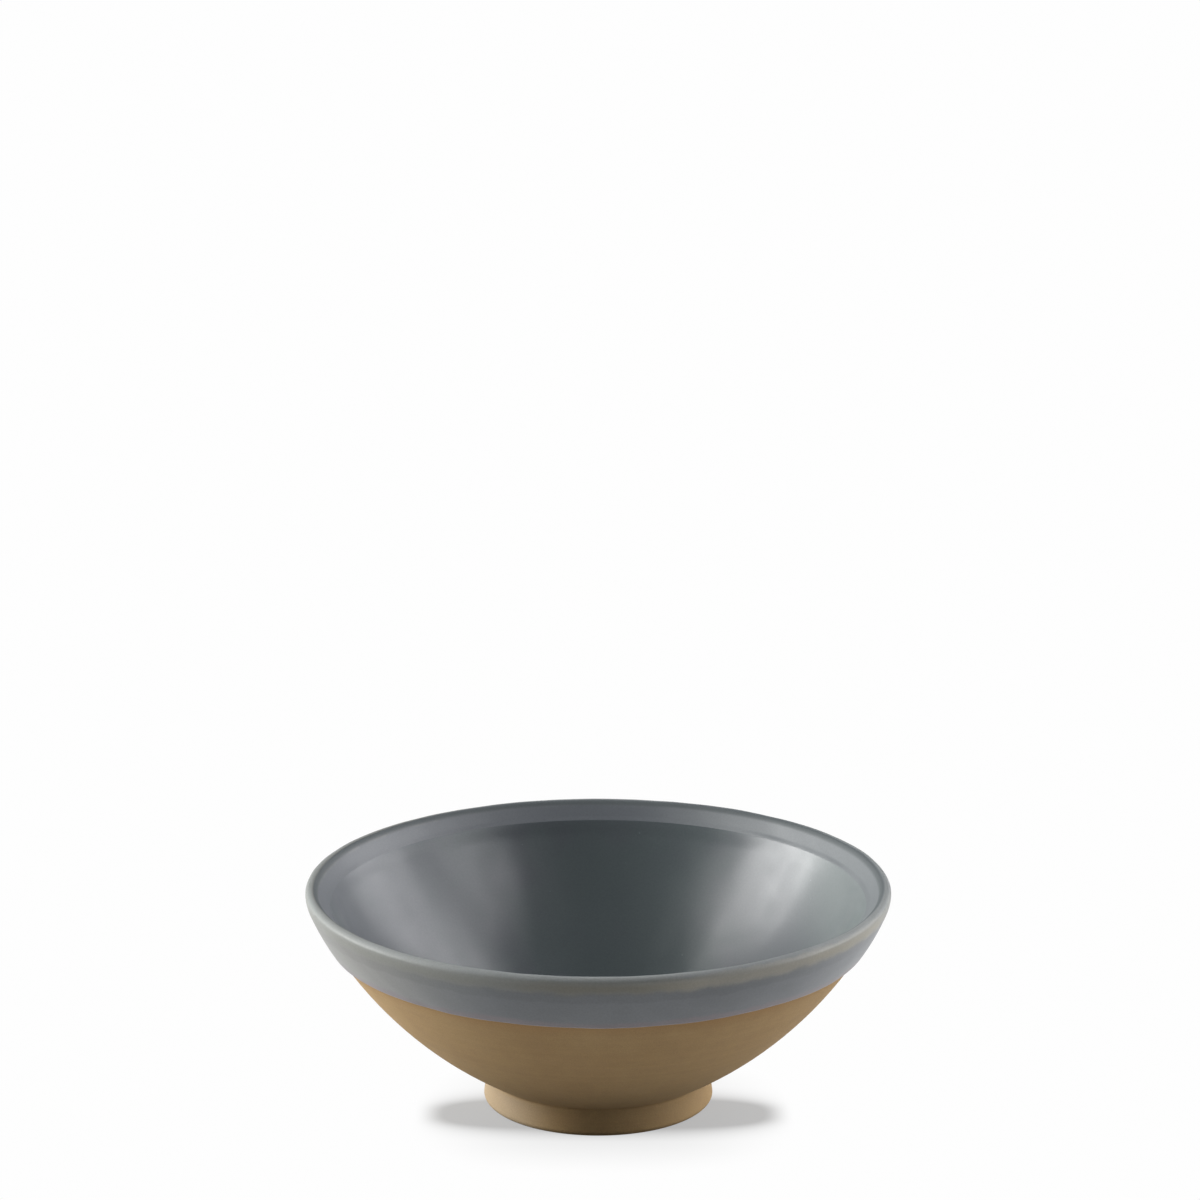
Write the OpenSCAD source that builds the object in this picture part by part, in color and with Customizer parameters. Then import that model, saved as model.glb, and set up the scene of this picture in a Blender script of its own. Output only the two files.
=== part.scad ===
// Conical stoneware bowl on a foot ring, glazed inside and over the rim, with bare clay below.
// Lengths are in millimetres. The origin is the centre of the foot's underside, and +Z is the bowl's axis.
// Every piece is a profile turned about the axis: x is the distance from the axis, y the height.

/* [Bowl] */
// Widest diameter, over the glazed lip
mouth_d = 210; // [200:1:224]
// Height from the table to the top of the glazed lip
bowl_h = 81.4; // [76:0.2:88]
// Radius of the clay wall's outside curve, from the foot to the lip
wall_curve_r = 148; // [124:1:190]
// Thickness of the clay wall
wall_t = 4.9; // [4.2:0.1:6.2]
// Thickness of the clay lip, which ends in a full round
lip_t = 3.2; // [2.4:0.1:4]
// Width of the bevelled band inside the rim, from the lip's outermost edge inwards
rim_band_w = 8.7; // [7:0.1:11]

/* [Well] */
// Diameter of the flat glazed well at the bottom of the inside
well_d = 66; // [54:1:76]
// Height of the small step round the well
well_step = 0.9; // [0.4:0.1:1.8]
// Thickness of the clay floor under the well
floor_t = 5.4; // [4.2:0.1:7]

/* [Foot ring] */
// Diameter of the foot ring where it is widest, near the table
foot_d = 83; // [78:1:90]
// Height of the foot ring outside, where the wall springs from it
foot_h = 10.1; // [8.6:0.1:12]
// How far the ring's outside leans in from its widest to the wall
foot_waist = 1.1; // [0.4:0.1:2.4]
// Width of the foot ring at its base
foot_ring_w = 7; // [5:0.1:9]
// How far the ring's inside leans in from its base to the floor
foot_draft = 1; // [0.4:0.1:2]
// Radius of the ring's two rounded lower edges
foot_edge_r = 1.7; // [0.8:0.1:2.3]

/* [Glaze] */
// Height on the outside where the rim glaze ends and bare clay begins
glaze_line_h = 60.9; // [52:0.1:68]
// Thickness of the liner glaze in the well and up the wall
liner_t = 0.6; // [0.3:0.05:0.8]
// Thickness of the rim glaze at its lower edge inside, where it laps to the liner
rim_inner_t = 0.9; // [0.5:0.05:1.3]
// Thickness of the rim glaze over the lip
lip_glaze_t = 0.55; // [0.35:0.05:0.9]
// Radius of the glaze's full shoulder, just below the lip outside
glaze_shoulder_r = 9.5; // [5:0.5:14]
// Thickness of the roll in which the rim glaze ends outside
glaze_roll_t = 1.4; // [0.9:0.05:1.8]
// Radius of the rim glaze's outside curve, from the roll to the shoulder
glaze_curve_r = 90; // [60:1:180]

/* [Hidden] */
$fn = 240;
// How far a cutting shape runs past what it cuts
overrun = 4;
// How far the end of a curve or face is sunk into the round or corner that it runs into
sink = 0.002;
mouth_r = mouth_d / 2;
well_r = well_d / 2;
foot_r = foot_d / 2;
lip_r = lip_t / 2;
glazed_lip_r = lip_r + lip_glaze_t;
// Centre of the round lip, shared by the clay and its glaze
lip_at = [mouth_r - glazed_lip_r, bowl_h - glazed_lip_r];
// Outer corner where the wall springs from the foot ring
spring_at = [foot_r - foot_waist, foot_h];

// A vector of length 1 in the direction of v
function unit(v) = v / norm(v);
// The vector v turned by a degrees, counter-clockwise
function turned(v, a) = [v.x * cos(a) - v.y * sin(a), v.x * sin(a) + v.y * cos(a)];
// Centre of the circle of radius big that holds two circles, of radii a_r and b_r about a and b,
// and touches both from inside. It lies on the left of the way from a to b.
function holding_centre(a, a_r, b, b_r, big) =
    let(
        apart = norm(b - a),
        to_a = big - a_r,
        to_b = big - b_r,
        along = (apart ^ 2 + to_a ^ 2 - to_b ^ 2) / (2 * apart),
        across = sqrt(to_a ^ 2 - along ^ 2)
    )
    a + along * unit(b - a) + across * turned(unit(b - a), 90);
// Where a line from p touches the circle of radius r about c, on the left (side 1) or right (side -1)
function touch_point(p, c, r, side) =
    let(apart = norm(c - p))
    p + sqrt(apart ^ 2 - r ^ 2) * turned(unit(c - p), side * asin(r / apart));

// The wall's curves all have this centre, so the wall and the liner are even in thickness
wall_at = holding_centre(spring_at, 0, lip_at, lip_r - sink, wall_curve_r);
inner_curve_r = wall_curve_r - wall_t;
liner_curve_r = inner_curve_r - liner_t;
// Height at distance x from the axis of the wall curve of radius r
function curve_h(r, x) = wall_at.y - sqrt(r ^ 2 - (x - wall_at.x) ^ 2);
// Point where the ray from the wall's centre along v is at distance x from the axis
function on_ray(v, x) = wall_at + v * (x - wall_at.x) / v.x;

// Levels of the floor: glaze in the well, clay under it, and the underside in the foot ring
well_h = curve_h(liner_curve_r, well_r) - well_step;
clay_floor_h = well_h - liner_t;
underside_h = clay_floor_h - floor_t;

// The crisp edge below the bevelled band: its direction from the wall's centre, and its clay and glaze corners
edge_x = mouth_r - rim_band_w;
edge_dir = unit([edge_x, curve_h(liner_curve_r, edge_x)] - wall_at);
edge_clay = wall_at + inner_curve_r * edge_dir;
edge_glaze = wall_at + (inner_curve_r - rim_inner_t) * edge_dir;
// Where the bevel runs into the round of the lip, on the clay and on the glaze
bevel_clay = touch_point(edge_clay, lip_at, lip_r - sink, 1);
bevel_glaze = touch_point(edge_glaze, lip_at, glazed_lip_r - sink, 1);

// The shoulder holds the round of the lip, level with it, and the roll's centre lies on the clay,
// one roll thickness above the glaze line
shoulder_at = lip_at - [glaze_shoulder_r - glazed_lip_r + sink, 0];
line_angle = asin((wall_at.y - glaze_line_h) / wall_curve_r);
roll_angle = line_angle - 2 * asin(glaze_roll_t / (2 * wall_curve_r));
roll_at = wall_at + wall_curve_r * [cos(roll_angle), -sin(roll_angle)];
glaze_at = holding_centre(roll_at, glaze_roll_t - sink, shoulder_at, glaze_shoulder_r - sink, glaze_curve_r);

// Foot ring: centres of the lower edges' rounds, and where the ring's faces run into them
outer_round_at = [foot_r - foot_edge_r, foot_edge_r];
inner_round_at = [foot_r - foot_ring_w + foot_edge_r, foot_edge_r];
inner_spring_x = foot_r - foot_ring_w - foot_draft;
inner_spring_at = [inner_spring_x, curve_h(wall_curve_r, inner_spring_x)];
outer_touch = touch_point(spring_at, outer_round_at, foot_edge_r - sink, 1);
inner_touch = touch_point(inner_spring_at, inner_round_at, foot_edge_r - sink, -1);

// A full disc about a point
module disc(at, r) {
    translate(at) circle(r = r);
}

// All that lies above the height h and below the ray from the wall's centre along v
module below_ray(v, h) {
    polygon([[0, h], [mouth_r + overrun, h], on_ray(v, mouth_r + overrun), on_ray(v, 0)]);
}

// The hollow of the bowl inside the wall curve of radius r, down to a flat floor of radius floor_r at height h
module hollow(r, floor_r, h) {
    intersection() {
        disc(wall_at, r);
        translate([0, h]) square([mouth_r, bowl_h + overrun]);
    }
    translate([0, h]) square([floor_r, well_step + overrun]);
}

// Clay floor, wall and lip
module shell_profile() {
    bevel_dir = unit(bevel_clay - edge_clay);
    lip_side = unit(bevel_clay - lip_at);
    difference() {
        intersection() {
            disc(wall_at, wall_curve_r);
            polygon([
                [0, underside_h],
                [mouth_r + overrun, underside_h],
                on_ray(unit(lip_at - wall_at), mouth_r + overrun),
                lip_at,
                lip_at + (wall_t + overrun) * lip_side,
                [0, bowl_h + overrun]
            ]);
        }
        hollow(inner_curve_r, well_r + liner_t, clay_floor_h);
        polygon([
            edge_clay - overrun * bevel_dir,
            bevel_clay + overrun * bevel_dir,
            bevel_clay + overrun * bevel_dir + (wall_t + overrun) * lip_side,
            edge_clay - overrun * bevel_dir + (wall_t + overrun) * lip_side
        ]);
    }
    disc(lip_at, lip_r);
}

// Glaze poured into the well and up the wall, as far as the bevelled band
module liner_profile() {
    difference() {
        intersection() {
            hollow(inner_curve_r, well_r + liner_t, clay_floor_h);
            below_ray(edge_dir, clay_floor_h);
        }
        hollow(liner_curve_r, well_r, well_h);
    }
}

// Glaze dipped over the bevelled band and the lip, and down the outside to its rolled edge
module rim_profile() {
    difference() {
        union() {
            difference() {
                union() {
                    intersection() {
                        disc(glaze_at, glaze_curve_r);
                        polygon([
                            glaze_at,
                            glaze_at + (glaze_curve_r + overrun) * unit(roll_at - glaze_at),
                            glaze_at + (glaze_curve_r + overrun) * unit(shoulder_at - glaze_at)
                        ]);
                    }
                    intersection() {
                        disc(shoulder_at, glaze_shoulder_r);
                        translate(shoulder_at - [0, glaze_shoulder_r + overrun])
                            square(glaze_shoulder_r + overrun);
                    }
                }
                disc(wall_at, wall_curve_r);
            }
            disc(roll_at, glaze_roll_t);
            disc(lip_at, glazed_lip_r);
            polygon([edge_clay + sink * unit(bevel_clay - edge_clay) + lip_r * edge_dir,
                lip_at, bevel_glaze, edge_glaze]);
        }
        shell_profile();
    }
}

// Clay ring whose top is cut to the curve of the wall that it is luted to
module foot_profile() {
    difference() {
        union() {
            polygon([
                inner_spring_at + overrun * unit(inner_spring_at - inner_touch),
                inner_touch,
                inner_round_at,
                [inner_round_at.x, 0],
                [outer_round_at.x, 0],
                outer_round_at,
                outer_touch,
                spring_at + overrun * unit(spring_at - outer_touch)
            ]);
            disc(inner_round_at, foot_edge_r);
            disc(outer_round_at, foot_edge_r);
        }
        disc(wall_at, wall_curve_r);
    }
}

module stoneware_shell() {
    color("#b09369") rotate_extrude() shell_profile();
}

module foot_ring() {
    color("#a68860") rotate_extrude() foot_profile();
}

module liner_glaze() {
    color("#484d52") rotate_extrude() liner_profile();
}

module rim_glaze() {
    color("#626569") rotate_extrude() rim_profile();
}

stoneware_shell();
foot_ring();
liner_glaze();
rim_glaze();
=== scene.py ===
"""A conical stoneware bowl: its clay, its two glazes and a plain studio, built round the bowl's CAD frame.

Every piece is a surface of turning worked out with numpy: an outline of distances from the axis and heights,
carried round the axis, with a fine relief added along its normals. Lengths are in metres, +Z is the axis.
"""

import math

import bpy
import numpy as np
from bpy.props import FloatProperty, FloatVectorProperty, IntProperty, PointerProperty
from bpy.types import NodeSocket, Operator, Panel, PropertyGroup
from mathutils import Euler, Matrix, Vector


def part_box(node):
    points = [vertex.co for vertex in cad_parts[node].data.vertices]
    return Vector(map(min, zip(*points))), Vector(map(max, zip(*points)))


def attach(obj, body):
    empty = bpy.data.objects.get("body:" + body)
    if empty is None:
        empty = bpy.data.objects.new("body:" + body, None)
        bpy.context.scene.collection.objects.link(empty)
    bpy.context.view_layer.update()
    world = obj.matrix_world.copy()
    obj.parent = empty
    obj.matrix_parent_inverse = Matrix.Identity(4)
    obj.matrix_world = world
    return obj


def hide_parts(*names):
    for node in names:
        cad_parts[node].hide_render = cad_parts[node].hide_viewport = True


bl_info = {
    "name": "Conical Stoneware Bowl",
    "version": (1, 0, 0),
    "blender": (4, 5, 0),
    "location": "View3D > Sidebar > Bowl",
    "description": "Clay, glazes and a studio stage for a conical bowl on a foot ring",
    "category": "Add Mesh",
}

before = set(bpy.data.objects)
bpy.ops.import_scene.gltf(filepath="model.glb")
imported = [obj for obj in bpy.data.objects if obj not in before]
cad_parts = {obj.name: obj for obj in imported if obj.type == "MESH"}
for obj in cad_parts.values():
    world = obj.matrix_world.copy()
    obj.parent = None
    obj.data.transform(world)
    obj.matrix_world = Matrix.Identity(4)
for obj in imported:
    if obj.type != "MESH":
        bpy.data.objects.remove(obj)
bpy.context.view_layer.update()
TAU = 2 * math.pi

SHELL_LOW, SHELL_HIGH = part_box("stoneware_shell")
FOOT_LOW, FOOT_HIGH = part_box("foot_ring")
LINER_LOW, LINER_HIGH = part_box("liner_glaze")
RIM_LOW, RIM_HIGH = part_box("rim_glaze")
MM = 0.001


def linear(red, green, blue):
    """A colour given in screen values from 0 to 255, as the linear light values that a shader takes."""
    share = np.array([red, green, blue]) / 255
    low = share / 12.92
    high = ((share + 0.055) / 1.055) ** 2.4
    return tuple(float(x) for x in np.where(share <= 0.04045, low, high))


def length(name, description, default):
    """A size that a user may change, in metres."""
    return FloatProperty(name=name, description=description, default=default, min=0, unit="LENGTH", precision=5)


def amount(name, description, default, highest=1.0):
    """A plain number that a user may change."""
    return FloatProperty(name=name, description=description, default=default, min=0, max=highest)


def colour(name, description, default):
    """A colour that a user may change, given in screen values."""
    return FloatVectorProperty(
        name=name, description=description, default=linear(*default), subtype="COLOR", size=3, min=0, max=1
    )


class BowlSizes(PropertyGroup):
    """Sizes of the bowl. Those that the frame's boxes give are read from them."""

    mouth_d: length("Mouth", "Widest diameter, over the glazed lip", RIM_HIGH.x - RIM_LOW.x)
    bowl_h: length("Height", "From the table to the top of the glazed lip", RIM_HIGH.z)
    foot_d: length("Foot", "Diameter of the foot ring where it is widest", FOOT_HIGH.x - FOOT_LOW.x)
    foot_h: length("Foot height", "Height of the foot ring outside", FOOT_HIGH.z)
    underside_h: length("Underside", "Height of the clay floor's underside inside the foot ring", SHELL_LOW.z)
    clay_floor_h: length("Clay floor", "Height of the clay floor under the liner glaze", LINER_LOW.z)
    lip_glaze_t: length("Lip glaze", "Thickness of the glaze over the lip", RIM_HIGH.z - SHELL_HIGH.z)
    lip_t: length("Lip", "Thickness of the clay lip", 3.2 * MM)
    wall_t: length("Wall", "Thickness of the clay wall", 4.9 * MM)
    wall_curve_r: length("Wall curve", "Radius of the clay wall's outside curve", 148 * MM)
    rim_band_w: length("Rim band", "Width of the bevelled band inside the rim", 8.7 * MM)
    well_d: length("Well", "Diameter of the flat well inside", 66 * MM)
    well_soft_w: length("Well edge", "Width over which the glaze softens the step round the well", 7 * MM)
    foot_waist: length("Foot waist", "How far the foot's outside leans in to the wall", 1.1 * MM)
    foot_ring_w: length("Foot ring width", "Width of the foot ring at its base", 7 * MM)
    foot_draft: length("Foot draft", "How far the ring's inside leans in to the floor", 1 * MM)
    foot_edge_r: length("Foot edge", "Radius of the foot's lower edges", 1.7 * MM)
    foot_fillet_r: length("Foot fillet", "Radius of the slip smoothed into the corner over the foot", 1.2 * MM)
    glaze_line_h: length("Glaze line", "Mean height of the glaze's lower edge outside", 60.9 * MM)
    line_wave: length("Line wave", "How far the glaze line wanders up and down", 0.32 * MM)
    liner_t: length("Liner", "Thickness of the liner glaze", 0.6 * MM)
    rim_inner_t: length("Inner lap", "Thickness of the rim glaze where it laps to the liner", 0.9 * MM)
    lap_round_r: length("Lap round", "Radius of the soft corner at the inner lap", 0.06 * MM)
    lap_fill_w: length("Lap fill", "Width over which the liner thickens towards the inner lap", 3 * MM)
    lap_filled: amount("Lap filled", "Share of the rim glaze's step at the inner lap that the liner fills", 0.97)
    glaze_roll_t: length("Glaze roll", "Thickness of the roll that ends the rim glaze outside", 1.4 * MM)
    glaze_curve_r: length("Glaze curve", "Radius of the rim glaze's outside curve", 90 * MM)
    glaze_shoulder_r: length("Shoulder", "Radius of the glaze's shoulder below the lip", 9.5 * MM)
    ring_pitch: length("Ring pitch", "Distance between the turning rings of the clay", 1.6 * MM)
    ring_depth: length("Ring depth", "Depth of the turning rings", 0.012 * MM)
    unevenness: length("Unevenness", "Height of the long soft swells of the glazed faces", 0.07 * MM)
    segments: IntProperty(name="Segments", description="Steps round the axis", default=360, min=48, max=512)


class BowlFinishes(PropertyGroup):
    """Colours and gloss of the clay and the glazes."""

    clay: colour("Clay", "Fired clay", (172, 143, 101))
    clay_dark: colour("Clay, dark", "Clay where it fired darker", (163, 133, 92))
    # The next colour is a real warm flash and also painted shade: the clay just below the glaze is darker
    clay_flash_and_shade: colour("Clay flash", "Warm flash and painted shade of the clay just below the glaze", (159, 121, 77))
    # The next colour is a painted sheen: paler, greyer clay on the left of the foot, where the left softbox lights it
    clay_sheen_pale: colour("Clay, pale", "Painted sheen, paler, on the left of the foot ring", (164, 143, 114))
    liner: colour("Liner", "Liner glaze", (82, 86, 91))
    liner_green: colour("Liner, green", "Liner glaze where it breaks green", (79, 87, 89))
    # The next colour is a painted reflection: paler liner high on the right, where the left softbox's highlight
    # spreads
    liner_reflection_pale: colour("Liner, pale", "Liner glaze painted paler for a reflection, high on the right", (102, 110, 109))
    rim: colour("Rim", "Rim glaze in its full thickness", (100, 104, 108))
    rim_pale: colour("Rim, pale", "Rim glaze where it runs pale", (110, 114, 118))
    # The next colour is painted light: lighter, warmer grey outside on the left, where the left softbox lights it
    rim_lit_left: colour("Rim, warm", "Rim glaze outside on the left, painted lighter and warmer where the left softbox lights it", (122, 122, 119))
    # The next colour is thin glaze on the lip's side, painted paler still as a spread highlight
    rim_lip_thin_and_sheen: colour("Rim, lip", "Rim glaze thin and painted pale as a spread highlight, on the outside of the lip", (131, 134, 133))
    rim_crest: colour("Rim, crest", "Rim glaze on the top of the lip", (84, 89, 91))
    rim_bevel: colour("Rim, bevel", "Rim glaze on the bevelled band inside", (90, 94, 99))
    # The next colour is a painted highlight: the bevelled band is paler on the right, where the left softbox's
    # highlight crosses it
    bevel_highlight_pale: colour("Rim, bevel, pale", "Rim glaze painted paler as a highlight on the right of the same band", (104, 108, 111))
    rim_thin: colour("Rim, thin", "Rim glaze where it is thin below the lip", (118, 119, 114))
    rim_olive: colour("Rim, olive", "The same thin glaze where it fired olive, at the front", (112, 110, 99))
    rim_tan: colour("Rim, tan", "The same thin glaze where it fired tan, at the right front", (138, 134, 122))
    rim_edge: colour("Rim edge", "Purple-grey of the rolled edge", (117, 110, 114))
    liner_rough: amount("Liner roughness", "Roughness of the liner glaze", 0.33)
    rim_rough: amount("Rim roughness", "Roughness of the rim glaze", 0.34)
    lip_rough: amount("Lip roughness", "Roughness of the rim glaze on the lip", 0.6)
    bevel_rough: amount("Bevel roughness", "Roughness of the rim glaze on the bevelled band inside", 0.45)
    lip_gloss: amount("Lip gloss", "Strength of the reflections on the lip, where 0.5 is plain glass", 0.28)
    bevel_gloss: amount("Bevel gloss", "Strength of the reflections on the bevelled band", 0.62)
    clay_rough: amount("Clay roughness", "Roughness of the bare clay", 0.85)


class BowlStage(PropertyGroup):
    """The studio: lamps, floor and camera."""

    left_glow: amount("Left softbox", "Radiance of the left softbox, where 1 is white", 12, 100)
    top_glow: amount("Left softbox, top", "Radiance of the weaker softbox over the left one", 5.8, 100)
    back_glow: amount("Right back softbox", "Radiance of the softbox at the right back", 4.6, 100)
    front_glow: amount("Right front softbox", "Radiance of the softbox at the right front", 4.3, 100)
    card_glow: amount("Right card", "Radiance of the low lit card on the right", 5.5, 100)
    back_card_glow: amount("Back card", "Radiance of the faint low card at the back", 0.6, 100)
    room_glow: amount("Room", "Radiance of the dim front of the room", 0.07, 10)
    halo_glow: amount("Halo", "Radiance of the tent's wall round the left softbox", 2.4, 10)
    white: amount("Backdrop", "How white the backdrop looks to the camera", 0.99)
    floor_seen: amount("Floor, seen", "Share of light that the seen floor gives back", 0.12)
    # The next amount is the painted shadow: an even grey glow in the patch round the foot
    painted_shadow_grey: amount("Painted shadow grey", "Even grey glow that paints the shadow in the patch", 0.415)
    floor_bounce: amount("Floor bounce", "Share of light that the floor throws back onto the bowl", 0.45)
    # The next three place a painted shade: the floor throws back less light under and in front of the bowl, for the
    # floor in its shadow
    painted_shade_r: length("Painted shade", "Radius of the painted shade patch under the bowl", 44 * MM)
    painted_shade_fade: length("Painted shade edge", "Width over which its darkness fades", 28 * MM)
    painted_shade_front: length("Painted shade place", "How far in front of the axis it lies", 24 * MM)
    # The patch below shows a painted shadow, mostly an even grey glow over a faint real one
    shadow_w: length("Shadow width", "Half width of the patch of floor that shows the shadow", 68.5 * MM)
    shadow_d: length("Shadow depth", "Half depth of the same patch", 58 * MM)
    shadow_core_w: length("Shadow core width", "Half width of the inner patch that shows it in full", 57 * MM)
    shadow_core_d: length("Shadow core depth", "Half depth of the same inner patch", 13.5 * MM)
    shadow_x: length("Shadow shift", "How far right of the axis the patch lies", 2 * MM)
    shadow_front: length("Shadow place", "How far in front of the axis the patch lies", 19 * MM)


def unit(v):
    """v divided by its length."""
    return v / np.hypot(v[..., 0], v[..., 1])[..., None]


def left_of(v):
    """v turned a quarter turn counter-clockwise."""
    return np.stack([-v[..., 1], v[..., 0]], -1)


def direction(angle):
    """The vector of length 1 at an angle from the outward direction, counter-clockwise."""
    return np.stack([np.cos(angle), np.sin(angle)], -1)


def angle_of(v):
    """The angle of v from the outward direction, counter-clockwise."""
    return np.arctan2(v[..., 1], v[..., 0])


def soft_step(t):
    """0 below 0 and 1 above 1, and 3 t squared less 2 t cubed between."""
    t = np.clip(t, 0, 1)
    return t * t * (3 - 2 * t)


def holding_centre(a, a_r, b, b_r, big):
    """Centre of the circle of radius big that holds the circles of radii a_r and b_r about a and b and touches
    both from inside: big less each radius is its distance from each centre. It lies left of the way from a to b."""
    way = b - a
    apart = np.hypot(way[..., 0], way[..., 1])
    along = (apart**2 + (big - a_r) ** 2 - (big - b_r) ** 2) / (2 * apart)
    across = np.sqrt((big - a_r) ** 2 - along**2)
    return a + along[..., None] * unit(way) + across[..., None] * left_of(unit(way))


def touch_point(p, c, r, side):
    """Where a line from p touches the circle of radius r about c, on the left (side 1) or the right (side -1).
    The line and the way to c enclose the angle whose sine is r over the distance."""
    apart = np.hypot(*(c - p))
    turn = side * math.asin(r / apart)
    along = unit(c - p)
    return p + math.sqrt(apart**2 - r**2) * (math.cos(turn) * along + math.sin(turn) * left_of(along))


class Layout:
    """The corners, centres and levels that the pieces share, from the bowl's sizes. A point is a pair:
    distance from the axis, and height."""

    def __init__(self, s):
        self.s = s
        mouth_r, foot_r, self.well_r = s.mouth_d / 2, s.foot_d / 2, s.well_d / 2
        self.lip_r = s.lip_t / 2
        self.glazed_lip_r = self.lip_r + s.lip_glaze_t
        self.lip_at = np.array([mouth_r - self.glazed_lip_r, s.bowl_h - self.glazed_lip_r])
        self.shoulder_at = self.lip_at - [s.glaze_shoulder_r - self.glazed_lip_r, 0]
        self.spring_at = np.array([foot_r - s.foot_waist, s.foot_h])
        self.wall_at = holding_centre(self.spring_at, 0, self.lip_at, self.lip_r, s.wall_curve_r)
        self.inner_curve_r = s.wall_curve_r - s.wall_t
        self.liner_curve_r = self.inner_curve_r - s.liner_t
        self.well_h = s.clay_floor_h + s.liner_t
        floor_x = self.well_r + s.liner_t
        self.floor_centre = np.array([0, s.clay_floor_h])
        self.floor_corner = np.array([floor_x, s.clay_floor_h])
        self.floor_brink = np.array([floor_x, self.curve_h(self.inner_curve_r, floor_x)])
        edge_x = mouth_r - s.rim_band_w
        self.edge_dir = unit(np.array([edge_x, self.curve_h(self.liner_curve_r, edge_x)]) - self.wall_at)
        self.edge_clay = self.on_wall(self.inner_curve_r)
        self.edge_liner = self.on_wall(self.liner_curve_r)
        self.edge_glaze = self.on_wall(self.inner_curve_r - s.rim_inner_t)
        self.bevel_clay = touch_point(self.edge_clay, self.lip_at, self.lip_r, 1)
        self.bevel_glaze = touch_point(self.edge_glaze, self.lip_at, self.glazed_lip_r, 1)
        self.outer_round_at = np.array([foot_r - s.foot_edge_r, s.foot_edge_r])
        self.inner_round_at = np.array([foot_r - s.foot_ring_w + s.foot_edge_r, s.foot_edge_r])
        inner_spring_x = foot_r - s.foot_ring_w - s.foot_draft
        self.inner_spring_at = np.array([inner_spring_x, self.curve_h(s.wall_curve_r, inner_spring_x)])
        self.outer_touch = touch_point(self.spring_at, self.outer_round_at, s.foot_edge_r, 1)
        self.inner_touch = touch_point(self.inner_spring_at, self.inner_round_at, s.foot_edge_r, -1)

    def curve_h(self, r, x):
        """Height at distance x from the axis of the wall curve of radius r."""
        return self.wall_at[1] - np.sqrt(r**2 - (x - self.wall_at[0]) ** 2)

    def on_wall(self, r):
        """The point on the wall curve of radius r at the crisp edge below the bevelled band."""
        return self.wall_at + r * self.edge_dir

    def wall_angle(self, point):
        """The angle of a point, seen from the wall curve's centre."""
        return angle_of(point - self.wall_at)

    def line_heights(self, around):
        """Height of the wandering glaze line at the angles around the axis: its mean height plus a few waves
        of whole numbers round the bowl, so that it closes on itself."""
        waves = ((2, 0.40, 0.6), (3, 0.34, 2.1), (5, 0.24, 4.4), (8, 0.16, 1.2), (13, 0.11, 5.3), (21, 0.07, 3.0))
        wave = sum(share * np.cos(count * around + phase) for count, share, phase in waves)
        return self.s.glaze_line_h + self.s.line_wave * wave


def run(start, end, steps):
    """Points evenly from start to end, without the end, where the next run begins."""
    share = np.arange(steps) / steps
    return start + (end - start) * share.reshape((-1,) + (1,) * np.ndim(end))


def arc(centre, radius, start, end, steps):
    """Points on a circle whose angle runs evenly from start to end, without the end."""
    return centre + radius * direction(run(np.asarray(start), np.asarray(end), steps))


def joined(runs, segments):
    """The runs of an outline one after the other, each repeated for every step round the axis if it is the
    same all round: an array of rows, steps and the pair of distance and height."""
    rows = [r if r.ndim == 3 else np.repeat(r[:, None], segments, 1) for r in runs]
    return np.concatenate(rows)


def lengths_along(outline):
    """Distance along the outline from its first row to each row, at every step round."""
    steps = np.hypot(*np.moveaxis(np.diff(outline, axis=0), -1, 0))
    return np.concatenate([np.zeros((1, outline.shape[1])), np.cumsum(steps, 0)])


def normals_of(outline):
    """Outward normals in the plane of the outline. An outline runs counter-clockwise round its solid, so the
    normal lies on the right of its way."""
    return -left_of(unit(np.gradient(outline, axis=0)))


def swells(x, y, shortest, longest, count, seed):
    """Soft unevenness across a face, from about -1 to 1: a sum of plane waves in seeded directions, whose
    lengths lie between the shortest and the longest and whose heights grow with their lengths."""
    draw = np.random.default_rng(seed)
    total, weight = np.zeros_like(x), 0.0
    for turn, share, phase in draw.random((count, 3)):
        wave = shortest * (longest / shortest) ** share
        height = wave / longest
        total += height * np.cos(TAU * ((x * math.cos(TAU * turn) + y * math.sin(TAU * turn)) / wave + phase))
        weight += height
    return total / math.sqrt(weight)


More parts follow.
